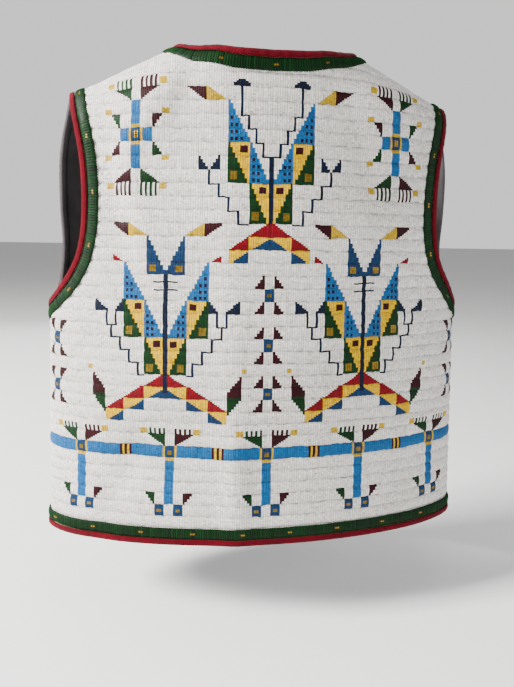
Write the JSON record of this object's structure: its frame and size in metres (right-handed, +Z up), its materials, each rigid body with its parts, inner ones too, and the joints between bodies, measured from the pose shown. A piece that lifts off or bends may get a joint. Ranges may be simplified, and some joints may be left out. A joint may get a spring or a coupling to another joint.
{
  "type": "beaded vest",
  "caption": "Sleeveless open-front vest of hide covered in lane-stitched glass beads, with a V front, charcoal lining and red cloth binding, filled out as worn.",
  "frame": {"origin": "between the shoulders, level with the inside of the shoulders half way along them and midway between front and back, where the wearer holds the vest up", "axes": "+Z up, from hem to shoulders; the fronts face -Y and the back faces +Y; +X is the wearer's left"},
  "size_m": [0.4996, 0.179, 0.5339],
  "materials": {
    "beads_white": "opaque glass beads in raised lanes on hide",
    "beads_green": "opaque glass beads",
    "binding_red": "woven cotton",
    "lining_charcoal": "matt cloth"
  },
  "bodies": {
    "root": {"back_panel": "beads_white", "back_lining": "lining_charcoal", "edge_lane_back_hem": "beads_green", "edge_lane_back_armhole_left": "beads_green", "edge_lane_back_armhole_right": "beads_green", "edge_lane_back_neck": "beads_green", "binding_back_hem": "binding_red", "binding_back_armhole_left": "binding_red", "binding_back_armhole_right": "binding_red", "binding_back_neck": "binding_red", "front_left_panel": "beads_white", "front_left_lining": "lining_charcoal", "edge_lane_front_left_edge": "beads_green", "edge_lane_front_left_armhole": "beads_green", "binding_front_left_edge": "binding_red", "binding_front_left_armhole": "binding_red", "front_right_panel": "beads_white", "front_right_lining": "lining_charcoal", "edge_lane_front_right_edge": "beads_green", "edge_lane_front_right_armhole": "beads_green", "binding_front_right_edge": "binding_red", "binding_front_right_armhole": "binding_red"}
  },
  "joints": []
}
